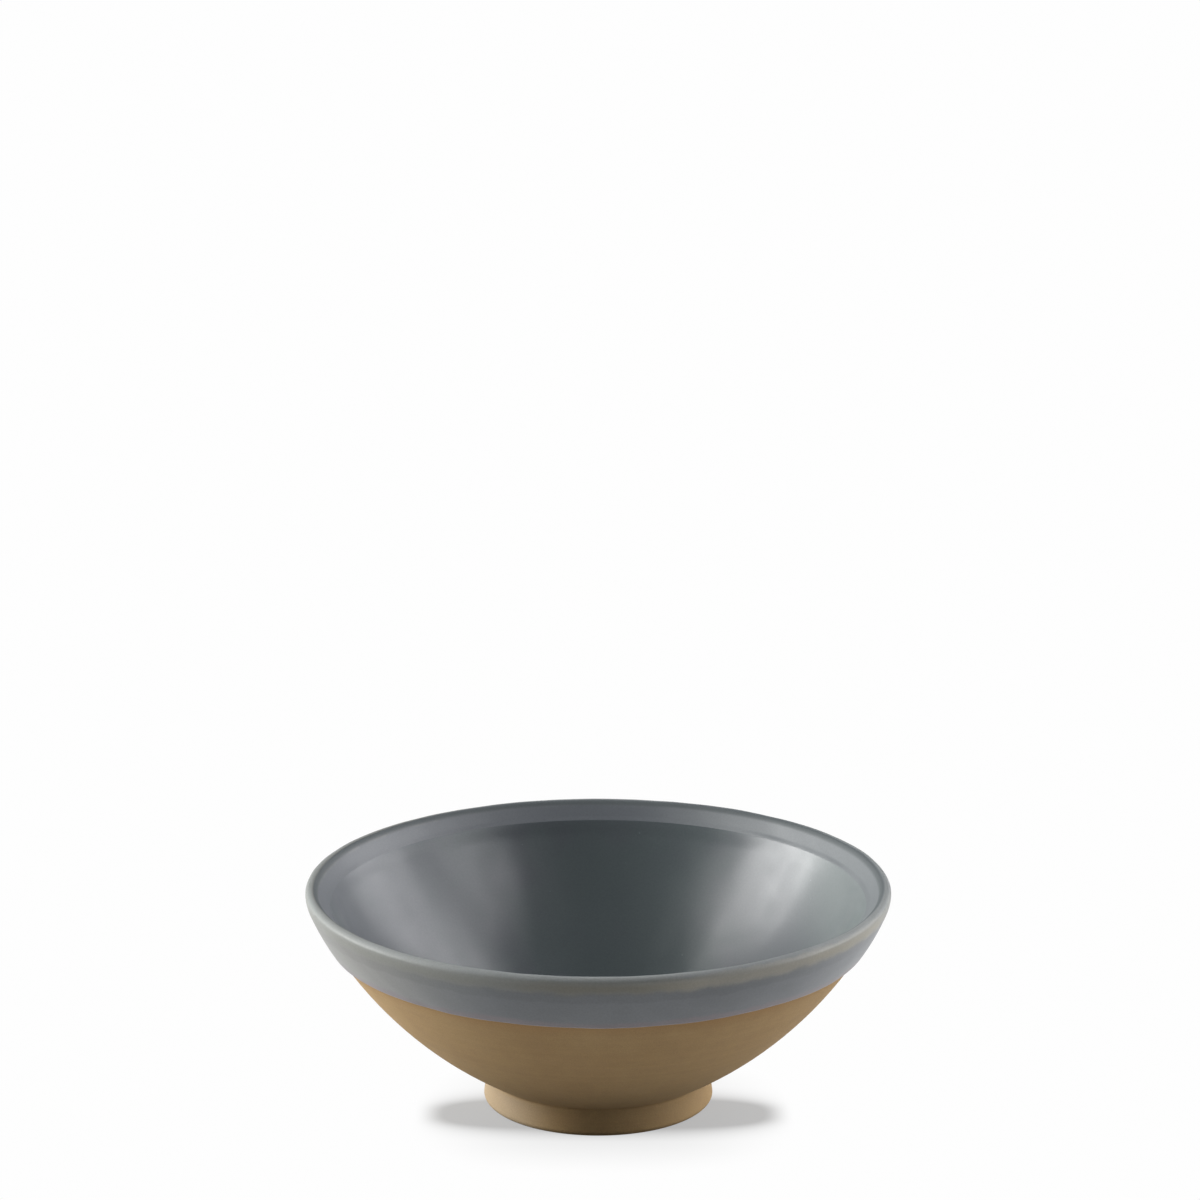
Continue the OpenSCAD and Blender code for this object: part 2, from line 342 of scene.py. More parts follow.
def turned_piece(name, outline, closed, values):
    """A solid of turning. Row i and step j of the outline, a distance r and a height z, become the point
    (r cos a, r sin a, z) for the angle a of step j. A closed outline joins its last row to its first. An open one
    starts and ends on the axis, where a single point closes it. values maps the names of point attributes to
    their arrays."""
    rows, steps = outline.shape[:2]
    around = np.arange(steps) * TAU / steps
    distance, height = outline[..., 0], outline[..., 1]
    points = np.stack([distance * np.cos(around), distance * np.sin(around), height], -1)
    rings = slice(0, rows) if closed else slice(1, rows - 1)

    def laid_out(grid):
        """The grid's rings one after the other, with the two axis points of an open outline at the end."""
        flat = grid[rings].reshape((-1,) + grid.shape[2:])
        return flat if closed else np.concatenate([flat, grid[:1, 0], grid[-1:, 0]])

    ring_count = rows if closed else rows - 2
    here = np.arange(ring_count * steps).reshape(ring_count, steps)
    beside = np.roll(here, -1, 1)
    above = np.roll(here, -1, 0) if closed else here[1:]
    above_beside = np.roll(beside, -1, 0) if closed else beside[1:]
    kept = slice(None) if closed else slice(0, -1)
    quads = np.stack([here[kept], beside[kept], above_beside, above], -1).reshape(-1, 4)
    faces = quads.tolist()
    if not closed:
        first, last = ring_count * steps, ring_count * steps + 1
        faces += np.stack([np.full(steps, first), beside[0], here[0]], -1).tolist()
        faces += np.stack([here[-1], beside[-1], np.full(steps, last)], -1).tolist()
    mesh = bpy.data.meshes.new(name)
    mesh.from_pydata(laid_out(points).tolist(), [], faces)
    for key, grid in values.items():
        layer = mesh.attributes.new(key, "FLOAT", "POINT")
        layer.data.foreach_set("value", laid_out(np.broadcast_to(grid, (rows, steps))).astype(np.float32))
    mesh.shade_smooth()
    piece = bpy.data.objects.new(name, mesh)
    bpy.context.scene.collection.objects.link(piece)
    return piece


def around_of(sizes):
    """The angles of the steps round the axis."""
    return np.arange(sizes.segments) * TAU / sizes.segments


def placed(piece, finish, node):
    """Gives a piece its finish, hides the frame's node that it stands for, and hangs it on the root body."""
    piece.data.materials.append(finish)
    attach(piece, "root")
    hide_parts(node)


def clay_shell(sizes):
    """The clay floor, wall and lip: flat underside, the wall's outside curve, the round lip, the bevel, the inside
    curve and the flat floor. The fine turning rings outside are two waves along the wall, which climb and fall by one
    wave in each turn, faded out at both ends."""
    lay = Layout(sizes)
    around = around_of(sizes)
    under_x = lay.wall_at[0] + math.sqrt(sizes.wall_curve_r**2 - (sizes.underside_h - lay.wall_at[1]) ** 2)
    under_corner = np.array([under_x, sizes.underside_h])
    lip_start, lip_end = lay.wall_angle(lay.lip_at), angle_of(lay.bevel_clay - lay.lip_at)
    runs = [
        run(np.array([0, sizes.underside_h]), under_corner, 16),
        arc(lay.wall_at, sizes.wall_curve_r, lay.wall_angle(under_corner), lip_start, 190),
        arc(lay.lip_at, lay.lip_r, lip_start, lip_end, 10),
        run(lay.bevel_clay, lay.edge_clay, 4),
        arc(lay.wall_at, lay.inner_curve_r, lay.wall_angle(lay.edge_clay), lay.wall_angle(lay.floor_brink), 24),
        run(lay.floor_brink, lay.floor_corner, 2),
        run(lay.floor_corner, lay.floor_centre, 6),
        lay.floor_centre[None],
    ]
    outline = joined(runs, sizes.segments)
    along = lengths_along(outline)
    line = lay.line_heights(around)
    outside = np.arange(len(outline))[:, None] < len(runs[0]) + len(runs[1])
    fade = soft_step((outline[..., 1] - sizes.foot_h) / (4 * MM)) * soft_step((line - outline[..., 1]) / (2 * MM))
    turns = TAU * along / sizes.ring_pitch
    rings = np.cos(turns + around) + 0.6 * np.cos(turns / 2.7 - around)
    outline = outline + normals_of(outline) * (outside * fade * sizes.ring_depth * rings)[..., None]
    return turned_piece("clay_body", outline, False, {"below_line": line - outline[..., 1]})


def foot_ring(sizes):
    """The clay foot: inside face, two rounded lower edges with the flat between them, outside face, a small hollow
    round that smooths it into the wall, and a hidden top that lies just inside the wall. The hollow round's centre
    is where a line beside the outside face first comes within its radius of the wall curve."""
    lay = Layout(sizes)
    fillet = sizes.foot_fillet_r
    face = unit(lay.spring_at - lay.outer_touch)
    start = lay.outer_touch - left_of(face) * fillet - lay.wall_at
    nearest = -start @ face
    reach = nearest - math.sqrt(nearest**2 - start @ start + (sizes.wall_curve_r + fillet) ** 2)
    fillet_at = lay.wall_at + start + reach * face
    fillet_start = angle_of(left_of(face)) % TAU
    fillet_end = angle_of(lay.wall_at - fillet_at)
    buried_r = sizes.wall_curve_r - 0.15 * MM
    inner_low = angle_of(lay.inner_touch - lay.inner_round_at) % TAU
    runs = [
        run(lay.inner_spring_at, lay.inner_touch, 24),
        arc(lay.inner_round_at, sizes.foot_edge_r, inner_low, 0.75 * TAU, 12),
        run(lay.inner_round_at - [0, sizes.foot_edge_r], lay.outer_round_at - [0, sizes.foot_edge_r], 10),
        arc(lay.outer_round_at, sizes.foot_edge_r, -TAU / 4, angle_of(lay.outer_touch - lay.outer_round_at), 16),
        run(lay.outer_touch, fillet_at + fillet * direction(fillet_start), 30),
        arc(fillet_at, fillet, fillet_start, fillet_end, 10),
        arc(lay.wall_at, buried_r, lay.wall_angle(fillet_at), lay.wall_angle(lay.inner_spring_at), 12),
    ]
    outline = joined(runs, sizes.segments)
    return turned_piece("clay_foot", outline, True, {"below_line": sizes.glaze_line_h - outline[..., 1]})


def liner_coat(sizes):
    """The liner glaze: its hidden face on the clay, and its open face from the crisp edge down the wall and across
    the well. The open face's height is the well's level plus a soft step times the wall curve's height over
    it. Added along its normals are the long soft swells of a poured coat and the faint streaks in which it ran down
    the wall, which are sums of waves across the face and of waves of whole numbers round it. Towards the lap under
    the bevelled band they give way to a rise that fills most of the lap. The first row of the open face takes its
    neighbour's normal, as the face turns a corner there."""
    lay = Layout(sizes)
    around = around_of(sizes)
    edge_x, soft, first_step = lay.edge_liner[0], sizes.well_soft_w, 0.03 * MM
    stops = np.array([edge_x, edge_x - first_step, lay.well_r + soft, lay.well_r - soft, 0])
    counts = (1, 160, 22, 44)
    distances = np.concatenate([run(*ends, steps) for *ends, steps in zip(stops, stops[1:], counts)])
    rise = soft_step((distances - lay.well_r) / soft + 0.5)
    heights = lay.well_h + rise * (lay.curve_h(lay.liner_curve_r, distances) - lay.well_h)
    open_face = np.append(np.stack([distances, heights], -1), [[0, lay.well_h]], 0)
    runs = [
        run(lay.floor_centre, lay.floor_corner, 6),
        run(lay.floor_corner, lay.floor_brink, 2),
        arc(lay.wall_at, lay.inner_curve_r, lay.wall_angle(lay.floor_brink), lay.wall_angle(lay.edge_clay), 24),
        run(lay.edge_clay, lay.edge_liner, 2),
        open_face,
    ]
    outline = joined(runs, sizes.segments)
    hidden = len(outline) - len(open_face)
    is_open = np.arange(len(outline))[:, None] >= hidden
    out = outline[..., 0]
    streaks = ((7, 0.5, 0.4), (11, 0.5, 2.9), (17, 0.4, 4.6), (26, 0.25, 1.1), (37, 0.15, 5.0))
    drift = out / (45 * MM)
    streak = sum(share * np.cos(count * around + phase + drift) for count, share, phase in streaks)
    streak *= soft_step((out - lay.well_r) / (25 * MM))
    swell = swells(out * np.cos(around), out * np.sin(around), 14 * MM, 60 * MM, count=14, seed=3) + streak
    at_lap = soft_step(1 - (edge_x - out) / sizes.lap_fill_w)
    lap_rise = sizes.lap_filled * (sizes.rim_inner_t - sizes.liner_t)
    height = is_open * (at_lap * lap_rise + (1 - at_lap) * sizes.unevenness * swell)
    normals = normals_of(outline)
    normals[hidden] = normals[hidden + 1]
    outline = outline + normals * height[..., None]
    # The last row is one point on the axis
    outline[-1] = outline[-1, :1]
    outline[-1, :, 0] = 0
    return turned_piece("liner_coat", outline, False, {})


def rim_coat(sizes):
    """The rim glaze: the rolled edge on the wandering glaze line, the outside curve, the shoulder, the round lip,
    the bevelled band, the soft corner of its inner lap, which is a quadratic curve with its middle point at the
    crisp corner, and its hidden face back along the clay. The circles touch each other at every step round the
    axis, so the surface follows the line without a kink. Long swells, which only sink, are added along its normals
    and fade out at both ends of the open face."""
    lay = Layout(sizes)
    around = around_of(sizes)
    line_angle = np.arcsin((lay.wall_at[1] - lay.line_heights(around)) / sizes.wall_curve_r)
    roll_angle = -line_angle + 2 * math.asin(sizes.glaze_roll_t / (2 * sizes.wall_curve_r))
    roll_at = lay.wall_at + sizes.wall_curve_r * direction(roll_angle)
    curve_at = holding_centre(
        roll_at, sizes.glaze_roll_t, lay.shoulder_at[None], sizes.glaze_shoulder_r, sizes.glaze_curve_r
    )
    roll_end, shoulder_start = angle_of(roll_at - curve_at), angle_of(lay.shoulder_at - curve_at)
    lip_end = angle_of(lay.bevel_glaze - lay.lip_at)
    bevel = unit(lay.edge_glaze - lay.bevel_glaze)
    lap = -lay.edge_dir
    corner = sizes.lap_round_r * (1 - bevel @ lap)
    lap_start, lap_end = lay.edge_glaze - corner * bevel, lay.edge_glaze - corner * lap
    share = np.linspace(0, 1, 7)[:-1, None]
    lap_curve = (1 - share) ** 2 * lap_start + 2 * share * (1 - share) * lay.edge_glaze + share**2 * lap_end
    # How much further than a quarter turn the roll goes on into the clay
    tucked = TAU / 40
    ends = 2 * MM
    open_runs = [
        arc(roll_at, sizes.glaze_roll_t, roll_angle - TAU / 4 - tucked, roll_end, 18),
        arc(curve_at, sizes.glaze_curve_r, roll_end, shoulder_start, 56),
        arc(lay.shoulder_at[None], sizes.glaze_shoulder_r, shoulder_start, np.zeros_like(around), 18),
        arc(lay.lip_at, lay.glazed_lip_r, 0, lip_end, 26),
        run(lay.bevel_glaze, lap_start, 30),
        lap_curve,
        run(lap_end, lay.edge_clay, 4),
    ]
    hidden_runs = [
        run(lay.edge_clay, lay.bevel_clay, 4),
        arc(lay.lip_at, lay.lip_r, angle_of(lay.bevel_clay - lay.lip_at), lay.wall_angle(lay.lip_at), 10),
        arc(lay.wall_at[None], sizes.wall_curve_r, np.full_like(around, lay.wall_angle(lay.lip_at)), roll_angle, 16),
    ]
    outline = joined(open_runs + hidden_runs, sizes.segments)
    along = lengths_along(outline)
    open_rows = sum(len(r) for r in open_runs)
    row = np.arange(len(outline))[:, None]
    faded_at = open_rows - len(open_runs[-1]) - len(lap_curve)
    fade = (row < open_rows) * soft_step(along / ends) * soft_step((along[faded_at] - along) / ends)
    # Moved with the height, so that the swells vary up the outside as well as round it
    x = outline[..., 0] * np.cos(around) + outline[..., 1]
    y = outline[..., 0] * np.sin(around) - outline[..., 1]
    relief = swells(x, y, 9 * MM, 40 * MM, count=14, seed=8)
    outline = outline + normals_of(outline) * (fade * sizes.unevenness * (relief - relief.max()))[..., None]
    return turned_piece("rim_coat", outline, True, {"reach": np.minimum(along, along[open_rows - 1])})


class Shading:
    """The node tree of a material or of the world, with short ways to add its nodes."""

    def __init__(self, owner):
        owner.use_nodes = True
        self.owner = owner
        self.tree = owner.node_tree
        self.tree.nodes.clear()

    def add(self, kind, sockets, **settings):
        """Adds a node. sockets maps inputs, by name or number, to a value or to another node's output."""
        node = self.tree.nodes.new("ShaderNode" + kind)
        for key, value in settings.items():
            setattr(node, key, value)
        for key, value in sockets.items():
            if isinstance(value, NodeSocket):
                self.tree.links.new(value, node.inputs[key])
            else:
                node.inputs[key].default_value = value
        return node

    def place(self):
        """The point on the piece, in its own coordinates."""
        return self.add("TexCoord", {}).outputs["Object"]

    def moved(self, point, by):
        """The point moved."""
        return self.add("VectorMath", {0: point, 1: by}, operation="ADD").outputs[0]

    def stretched(self, point, scale):
        """The point with each coordinate multiplied."""
        return self.add("Mapping", {"Vector": point, "Scale": scale}).outputs[0]

    def noise(self, point, scale, detail=2.0, roughness=0.5):
        """Cloudy noise from 0 to 1. scale is how many of its cells fit in a metre."""
        sockets = {"Vector": point, "Scale": scale, "Detail": detail, "Roughness": roughness}
        return self.add("TexNoise", sockets).outputs[0]

    def spread(self, value, low, high, to_low=0.0, to_high=1.0):
        """A soft step: to_low below low and to_high above high."""
        sockets = {0: value, 1: low, 2: high, 3: to_low, 4: to_high}
        return self.add("MapRange", sockets, interpolation_type="SMOOTHSTEP").outputs[0]

    def combined(self, operation, first, second):
        """Two values joined by an operation of the Math node."""
        return self.add("Math", {0: first, 1: second}, operation=operation).outputs[0]

    def added(self, first, second):
        """The sum of two values."""
        return self.combined("ADD", first, second)

    def times(self, first, second):
        """The product of two values."""
        return self.combined("MULTIPLY", first, second)

    def edge(self, value, stretch, before=0.0, after=1.0):
        """A soft step over a stretch of a length, given as its start and end in millimetres."""
        return self.spread(value, stretch[0] * MM, stretch[1] * MM, before, after)

    def zone(self, value, comes, goes):
        """1 between the edge where a zone comes and the edge where it goes, and 0 outside them."""
        return self.times(self.edge(value, comes), self.edge(value, goes, 1, 0))

    def parts(self, point):
        """The point's x, y and z."""
        return self.add("SeparateXYZ", {0: point}).outputs

    def blended(self, share, first, second):
        """The first colour where share is 0 and the second where it is 1."""
        first, second = (c if isinstance(c, NodeSocket) else (*c, 1.0) for c in (first, second))
        return self.add("Mix", {0: share, 6: first, 7: second}, data_type="RGBA").outputs[2]

    def shaded(self, base, value):
        """A colour multiplied by a value."""
        return self.add("VectorMath", {0: base, "Scale": value}, operation="SCALE").outputs[0]

    def radius(self, point):
        """Distance of the point from the bowl's axis."""
        flat = self.add("VectorMath", {0: point, 1: (1, 1, 0)}, operation="MULTIPLY").outputs[0]
        return self.add("VectorMath", {0: flat}, operation="LENGTH").outputs["Value"]

    def clamped(self, value):
        """The value, held between 0 and 1."""
        return self.add("Clamp", {0: value}).outputs[0]

    def blunt_radius(self, point, half_w, half_d):
        """1 on the edge of a blunt oval and in proportion elsewhere: the cube root of the sum of the cubes of the
        point's shares of the oval's half width and half depth."""
        positive = self.add("VectorMath", {0: point}, operation="ABSOLUTE").outputs[0]
        x, y, _ = self.parts(self.stretched(positive, (1 / half_w, 1 / half_d, 1)))
        cubes = self.added(self.combined("POWER", x, 3.0), self.combined("POWER", y, 3.0))
        return self.combined("POWER", cubes, 1 / 3)

    def finished(self, sockets, height, depth):
        """Ends the tree in the shader, with a bump of the given depth in metres from the height."""
        bump = self.add("Bump", {"Height": height, "Distance": depth})
        shader = self.add("BsdfPrincipled", {"Normal": bump.outputs[0], **sockets})
        self.add("OutputMaterial", {0: shader.outputs[0]})
        return self.owner


def clay_finish(looks):
    """Bare fired clay: cloudy tones, a fine grain, faint turning lines, a warm flash below the glaze that is also
    painted shade darkening the clay there, and a painted sheen: a paler tone on the left of the foot, where the left
    softbox lights it."""
    f = Shading(bpy.data.materials.new("fired_clay"))
    point = f.place()
    cloud = f.noise(point, 22, 3)
    mottle = f.noise(point, 170, 4, 0.6)
    grain = f.noise(point, 2600, 3, 0.7)
    lines = f.noise(f.stretched(point, (9, 9, 900)), 1, 3)
    clouds = f.spread(f.added(cloud, f.times(mottle, 0.6)), 0.62, 0.98)
    tone = f.blended(clouds, looks.clay_dark, looks.clay)
    below = f.add("Attribute", {}, attribute_name="below_line").outputs["Fac"]
    # A real warm flash and painted shade: the clay just below the glaze is warmer and darker
    flash_and_shade = f.edge(f.added(below, f.times(cloud, 6 * MM)), (2, 9), 0.5, 0.0)
    tone = f.blended(flash_and_shade, tone, looks.clay_flash_and_shade)
    x, _, z = f.parts(point)
    # Painted sheen: the left of the foot, low down, is painted paler where the left softbox lights it
    sheen_on_foot_left = f.times(f.edge(x, (-32, -12), 1, 0), f.edge(z, (8, 11), 1, 0))
    tone = f.blended(sheen_on_foot_left, tone, looks.clay_sheen_pale)
    speckle = f.added(f.spread(grain, 0.3, 0.7, 0.90, 1.07), f.spread(lines, 0.3, 0.7, -0.02, 0.02))
    height = f.added(grain, f.times(lines, 0.6))
    sockets = {
        "Base Color": f.shaded(tone, speckle),
        "Roughness": f.spread(mottle, 0.3, 0.7, looks.clay_rough - 0.05, looks.clay_rough + 0.07),
        "Specular IOR Level": 0.45,
    }
    return f.finished(sockets, height, 0.05 * MM)


def shared_clay(looks):
    """The clay finish, made once for both clay pieces."""
    return bpy.data.materials.get("fired_clay") or clay_finish(looks)


def liner_finish(looks):
    """Satin liner glaze: blue-grey that breaks green in clouds, painted paler high on the right as a painted
    reflection where the left softbox's highlight spreads, with a few pinholes and an uneven gloss."""
    f = Shading(bpy.data.materials.new("satin_liner"))
    point = f.place()
    cloud = f.noise(point, 14, 3, 0.55)
    mottle = f.noise(point, 90, 4, 0.6)
    fine = f.noise(point, 1400, 3, 0.6)
    clouds = f.spread(f.added(cloud, f.times(mottle, 0.35)), 0.55, 0.85)
    tone = f.blended(clouds, looks.liner, looks.liner_green)
    x, _, z = f.parts(point)
    # Painted reflection: paler high on the right, where the left softbox's highlight spreads
    reflection_high_right = f.times(f.edge(x, (66, 88)), f.edge(z, (34, 58)))
    tone = f.blended(f.times(reflection_high_right, f.spread(cloud, 0.35, 0.65, 0.7, 1.0)), tone, looks.liner_reflection_pale)
    cells = f.add("TexVoronoi", {"Vector": point, "Scale": 380.0})
    rare = f.add("SeparateColor", {0: cells.outputs["Color"]}).outputs[0]
    hole = f.times(f.spread(cells.outputs["Distance"], 0.06, 0.16, 1, 0), f.spread(rare, 0.985, 0.987))
    shade = f.added(f.spread(fine, 0.3, 0.7, 0.95, 1.05), f.times(hole, 0.5))
    height = f.combined("SUBTRACT", f.added(mottle, f.times(fine, 0.10)), f.times(hole, 0.6))
    sockets = {
        "Base Color": f.shaded(tone, shade),
        "Roughness": f.spread(mottle, 0.3, 0.7, looks.liner_rough - 0.03, looks.liner_rough + 0.03),
        "IOR": 1.5,
    }
    return f.finished(sockets, height, 0.04 * MM)


# Zones of the rim glaze in millimetres along its surface, from its lower end: where each one comes and where it goes
ROLL_GOES = (3.4, 5.6)
# The next zone is painted shade: a darker line below the lip
SHADE_LINE_ZONE = ((13.8, 15.2), (18.0, 19.2))
THIN_ZONE = ((16.8, 20.4), (23.4, 24.4))
# LIP_SIDE holds thin glaze on the lip's side, painted paler as a spread highlight
LIP_SIDE = ((21.0, 24.6), (25.6, 26.4))
LIP_CREST = ((26.0, 26.8), (28.2, 29.4))
BEVEL_COMES = (27.0, 29.5)
LIP_GLOSS_COMES = (22.0, 24.0)
BEVEL_GLOSS_COMES = (27.5, 29.5)


def rim_finish(looks):
    """Satin rim glaze: purple-grey in its rolled edge, blue-grey up the band, painted lighter and warmer on the left
    where the left softbox lights it, a painted shade line and then thin, olive and tan glaze below the lip, thin grey
    on the lip's side painted paler as a spread highlight, dark on its crest, and a painted highlight, paler, on the
    right of the bevelled band inside. The zones follow the distance along the glaze from its lower end."""
    f = Shading(bpy.data.materials.new("satin_rim"))
    point = f.place()
    reach = f.add("Attribute", {}, attribute_name="reach").outputs["Fac"]
    cloud = f.noise(point, 20, 3, 0.55)
    mottle = f.noise(point, 120, 4, 0.6)
    fine = f.noise(point, 1400, 3, 0.6)
    wander = f.added(reach, f.spread(mottle, 0.2, 0.8, -0.8 * MM, 0.8 * MM))
    tone = f.blended(f.spread(cloud, 0.35, 0.65), looks.rim, looks.rim_pale)
    x, y, _ = f.parts(point)
    # Painted light: lighter and warmer grey outside on the left, where the left softbox lights and is mirrored in it
    tone = f.blended(f.edge(x, (-88, -30), 1, 0), tone, looks.rim_lit_left)
    tone = f.blended(f.edge(wander, ROLL_GOES, 1, 0), tone, looks.rim_edge)
    off_front = f.edge(f.combined("ABSOLUTE", f.combined("SUBTRACT", x, 8 * MM), 0.0), (18, 46))
    off_olive = f.combined("MAXIMUM", off_front, f.edge(y, (0, 20)))
    thin = f.blended(off_olive, looks.rim_olive, looks.rim_thin)
    right_front = f.times(f.edge(x, (10, 36)), f.edge(y, (-45, -15), 1, 0))
    thin = f.blended(right_front, thin, looks.rim_tan)
    tone = f.blended(f.times(f.zone(wander, *THIN_ZONE), f.spread(cloud, 0.3, 0.6, 0.7, 0.95)), tone, thin)
    # Painted highlight: the right of the bevelled band is paler, where the left softbox's highlight crosses it
    bevel = f.blended(f.edge(x, (10, 50)), looks.rim_bevel, looks.bevel_highlight_pale)
    tone = f.blended(f.edge(wander, BEVEL_COMES), tone, bevel)
    tone = f.blended(f.zone(reach, *LIP_CREST), tone, looks.rim_crest)
    # Painted highlight: the lip's side is paler, spreading the lip's shine, over glaze that breaks thin there
    side = f.times(f.zone(reach, *LIP_SIDE), f.spread(cloud, 0.3, 0.7, 0.6, 1.0))
    tone = f.blended(side, tone, looks.rim_lip_thin_and_sheen)
    # Painted shade: a darker line below the lip
    painted_shade_line = f.times(f.zone(wander, *SHADE_LINE_ZONE), 0.12)
    shade = f.combined("SUBTRACT", f.spread(fine, 0.3, 0.7, 0.95, 1.05), painted_shade_line)
    height = f.added(mottle, f.times(fine, 0.10))

    def by_zone(outside, lip, bevelled):
        """A value that changes softly from the outside over the lip to the bevelled band."""
        to_lip = f.edge(reach, LIP_GLOSS_COMES, outside, lip)
        return f.added(to_lip, f.edge(reach, BEVEL_GLOSS_COMES, 0, bevelled - lip))

    sockets = {
        "Base Color": f.shaded(tone, shade),
        "Roughness": by_zone(looks.rim_rough, looks.lip_rough, looks.bevel_rough),
        "IOR": 1.5,
        "Specular IOR Level": by_zone(0.5, looks.lip_gloss, looks.bevel_gloss),
    }
    return f.finished(sockets, height, 0.04 * MM)


def seen_share(f):
    """1 for rays that show a thing to the camera, straight or through a mirror or glass, and 0 for the rest."""
    path = f.add("LightPath", {}).outputs
    through = f.combined("MAXIMUM", path["Is Glossy Ray"], path["Is Transmission Ray"])
    return f.combined("MAXIMUM", path["Is Camera Ray"], through)


def floor_finish(stage):
    """A pale floor. In a blunt oval patch round the foot the camera sees a painted shadow: an even grey glow, with
    the bowl's faint real shadow on a dull floor added, and outside the patch the white backdrop. The light that it
    throws on the bowl is another matter: it is less from right under the bowl and a little in front of it, a painted
    shade that stands for the floor in the bowl's shadow."""
    f = Shading(bpy.data.materials.new("pale_floor"))
    point = f.place()
    centred = f.moved(point, (-stage.shadow_x, stage.shadow_front, 0))
    outer = f.blunt_radius(centred, stage.shadow_w, stage.shadow_d)
    inner = f.blunt_radius(centred, stage.shadow_core_w, stage.shadow_core_d)
    beyond_core = f.clamped(f.combined("SUBTRACT", inner, 1.0))
    within_patch = f.clamped(f.combined("SUBTRACT", 1.0, outer))
    across = f.combined("DIVIDE", beyond_core, f.added(beyond_core, f.added(within_patch, 0.0001)))
    seen = seen_share(f)
    # Painted shadow: a dull floor's faint real shadow plus an even grey glow
    near = f.add("BsdfDiffuse", {"Color": (stage.floor_seen,) * 3 + (1,)})
    lift = f.add("Emission", {"Color": (1, 1, 1, 1), "Strength": stage.painted_shadow_grey})
    lit = f.add("AddShader", {0: near.outputs[0], 1: lift.outputs[0]})
    far = f.add("Emission", {"Color": (1, 1, 1, 1), "Strength": stage.white})
    shown = f.add("MixShader", {0: f.spread(across, 0.0, 1.0), 1: lit.outputs[0], 2: far.outputs[0]})
    # Painted shade: less bounce from under the bowl and a little in front, for the floor in the bowl's shadow
    on_painted_shade = f.radius(f.moved(point, (0, stage.painted_shade_front, 0)))
    painted_shade_end = stage.painted_shade_r + stage.painted_shade_fade
    level = f.spread(on_painted_shade, stage.painted_shade_r, painted_shade_end, 0.03 * stage.floor_bounce, stage.floor_bounce)
    bounce = f.add("BsdfDiffuse", {"Color": f.add("CombineColor", {0: level, 1: level, 2: level}).outputs[0]})
    both = f.add("MixShader", {0: seen, 1: bounce.outputs[0], 2: shown.outputs[0]})
    f.add("OutputMaterial", {0: both.outputs[0]})
    return f.owner


def pale_floor(stage):
    """A square floor level with the foot's underside, far wider than the view."""
    half = 6.0
    mesh = bpy.data.meshes.new("studio_floor")
    corners = [(-half, -half, 0), (half, -half, 0), (half, half, 0), (-half, half, 0)]
    mesh.from_pydata(corners, [], [(0, 1, 2, 3)])
    mesh.materials.append(floor_finish(stage))
    floor = bpy.data.objects.new("studio_floor", mesh)
    bpy.context.scene.collection.objects.link(floor)


def dim_room(stage):
    """A dim tent whose wall glows round the left softbox and less towards its top. The camera, straight or through
    glass, sees a white backdrop instead. The glazes mirror the tent, as the photographed ones do."""
    world = bpy.data.worlds.new("studio_room")
    f = Shading(world)
    towards = f.add("TexCoord", {}).outputs["Generated"]
    leftwards = (*direction(math.radians(163)), 0)
    nearness = f.add("VectorMath", {0: towards, 1: leftwards}, operation="DOT_PRODUCT").outputs["Value"]
    beside = f.spread(nearness, 0.5, 0.95, 0.0, stage.halo_glow)
    halo = f.times(beside, f.spread(f.parts(towards)[2], 0.1, 0.95, 1.0, 0.2))
    path = f.add("LightPath", {}).outputs
    seen = f.combined("MAXIMUM", path["Is Camera Ray"], path["Is Transmission Ray"])
    room = f.add("Background", {"Color": (0.97, 1, 0.99, 1), "Strength": f.added(halo, stage.room_glow)})
    backdrop = f.add("Background", {"Color": (1, 1, 1, 1), "Strength": stage.white})
    both = f.add("MixShader", {0: seen, 1: room.outputs[0], 2: backdrop.outputs[0]})
    f.add("OutputWorld", {0: both.outputs[0]})
    bpy.context.scene.world = world


def softbox(name, around, above, half_width, half_height, glow, tint):
    """A rectangular lamp that faces the bowl, all given in degrees as the bowl sees it: its bearing, 0 being the
    right of the view and 90 its back, its height above the horizon, and its half width and half height. Its power
    is its radiance times its area times pi."""
    away = 1.3
    lamp = bpy.data.lights.new(name, "AREA")
    lamp.shape = "RECTANGLE"
    lamp.size = 2 * away * math.tan(math.radians(half_width))
    lamp.size_y = 2 * away * math.tan(math.radians(half_height))
    lamp.energy = glow * lamp.size * lamp.size_y * math.pi
    lamp.color = tint
    spot = bpy.data.objects.new(name, lamp)
    flat, rise = math.radians(around), math.radians(above)
    towards = Vector((math.cos(flat) * math.cos(rise), math.sin(flat) * math.cos(rise), math.sin(rise)))
    spot.location = towards * away + Vector((0, 0, RIM_HIGH.z / 2))
    spot.rotation_euler = (-towards).to_track_quat("-Z", "Y").to_euler()
    spot.visible_camera = False
    bpy.context.scene.collection.objects.link(spot)


def studio_lamps(stage):
    """A strong softbox low on the left with a weaker one over it, and on the right two weaker ones, with a gap
    between them, over a low lit card, with a faint card behind."""
    softbox("left_softbox", 171, 20, 16, 15, stage.left_glow, (1.0, 1.0, 0.99))
    softbox("left_softbox_top", 176, 44, 15, 9, stage.top_glow, (1.0, 1.0, 0.99))
    softbox("right_softbox_back", 32, 28, 18, 23, stage.back_glow, (0.98, 0.98, 1.0))
    softbox("right_softbox_front", -17, 38, 13, 17, stage.front_glow, (0.98, 0.98, 1.0))
    softbox("right_card", 2, 8, 16, 10, stage.card_glow, (0.99, 0.99, 1.0))
    softbox("back_card", 68, 8, 10, 9, stage.back_card_glow, (0.99, 0.99, 1.0))


